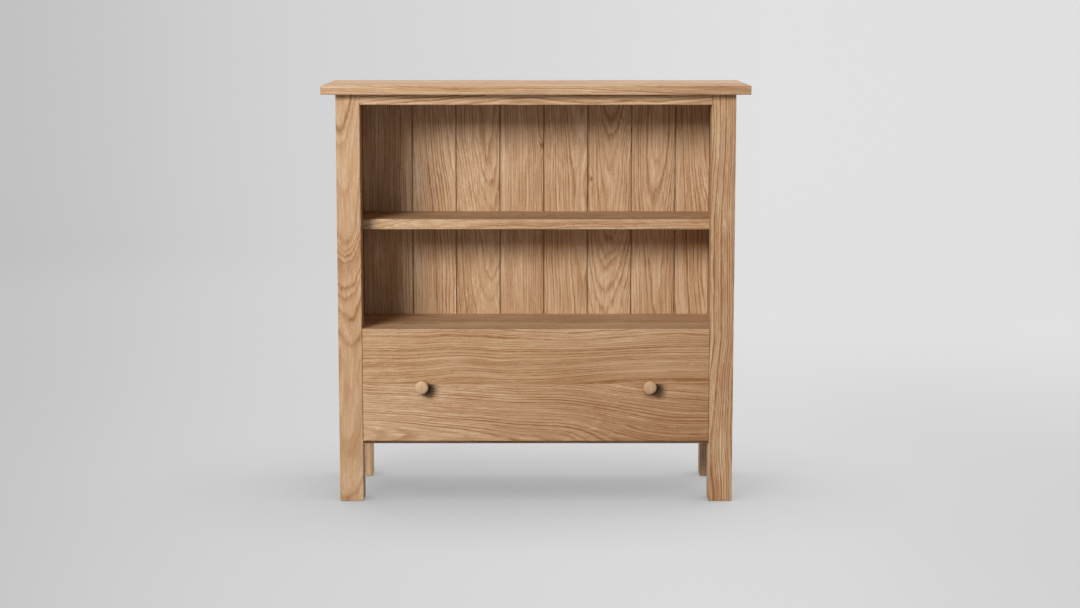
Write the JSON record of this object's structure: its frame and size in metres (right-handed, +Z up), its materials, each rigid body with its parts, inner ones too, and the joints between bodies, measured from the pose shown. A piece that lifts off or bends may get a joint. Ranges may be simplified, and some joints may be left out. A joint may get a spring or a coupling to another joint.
{
  "type": "bookcase with bottom drawer",
  "caption": "Low oak bookcase: square posts, an overhanging top, open bays with a shelf and tongue-and-groove back, and a full-width drawer below.",
  "frame": {"origin": "middle of the whole object's base, on the floor", "axes": "+X to the right seen from the front, +Y from the front to the back, +Z up"},
  "size_m": [0.908, 0.34, 0.9],
  "materials": {
    "posts": "clear satin lacquer, upright grain",
    "boards": "clear satin lacquer, grain along the width",
    "rails": "clear satin lacquer",
    "side_panels": "clear satin lacquer, upright grain",
    "back_boards": "clear satin lacquer, upright grain",
    "battens": "planed, unlacquered",
    "drawer_box": "planed, thin lacquer",
    "drawer_front": "clear satin lacquer, grain along the width",
    "knobs": "turned, clear satin lacquer",
    "screws": "zinc plated",
    "pegs": "nickel plated"
  },
  "bodies": {
    "carcase": {"back_board_1": "back_boards", "back_board_2": "back_boards", "back_board_3": "back_boards", "back_board_4": "back_boards", "back_board_5": "back_boards", "back_board_6": "back_boards", "back_board_7": "back_boards", "back_board_8": "back_boards", "back_bottom_rail": "rails", "back_left_post": "posts", "back_right_post": "posts", "back_top_rail": "rails", "bottom_board": "boards", "cabinet_floor": "boards", "drawer_stops": "battens", "front_left_post": "posts", "front_right_post": "posts", "front_top_rail": "rails", "left_bottom_rail": "rails", "left_drawer_guide": "battens", "left_kicker": "battens", "left_side_panel": "side_panels", "left_top_rail": "rails", "right_bottom_rail": "rails", "right_drawer_guide": "battens", "right_kicker": "battens", "right_side_panel": "side_panels", "right_top_rail": "rails", "shelf": "boards", "shelf_pegs": "pegs", "top_board": "boards", "top_buttons": "battens"},
    "drawer": {"drawer_front_lower": "drawer_front", "drawer_front_upper": "drawer_front", "left_drawer_side": "drawer_box", "right_drawer_side": "drawer_box", "drawer_back": "drawer_box", "drawer_bottom": "drawer_box", "left_knob": "knobs", "right_knob": "knobs", "knob_screws": "screws"}
  },
  "joints": [
    {"name": "drawer_slide", "type": "slide", "parent": "carcase", "child": "drawer", "axis": [0, -1, 0], "range_m": [0, 0.15]}
  ]
}
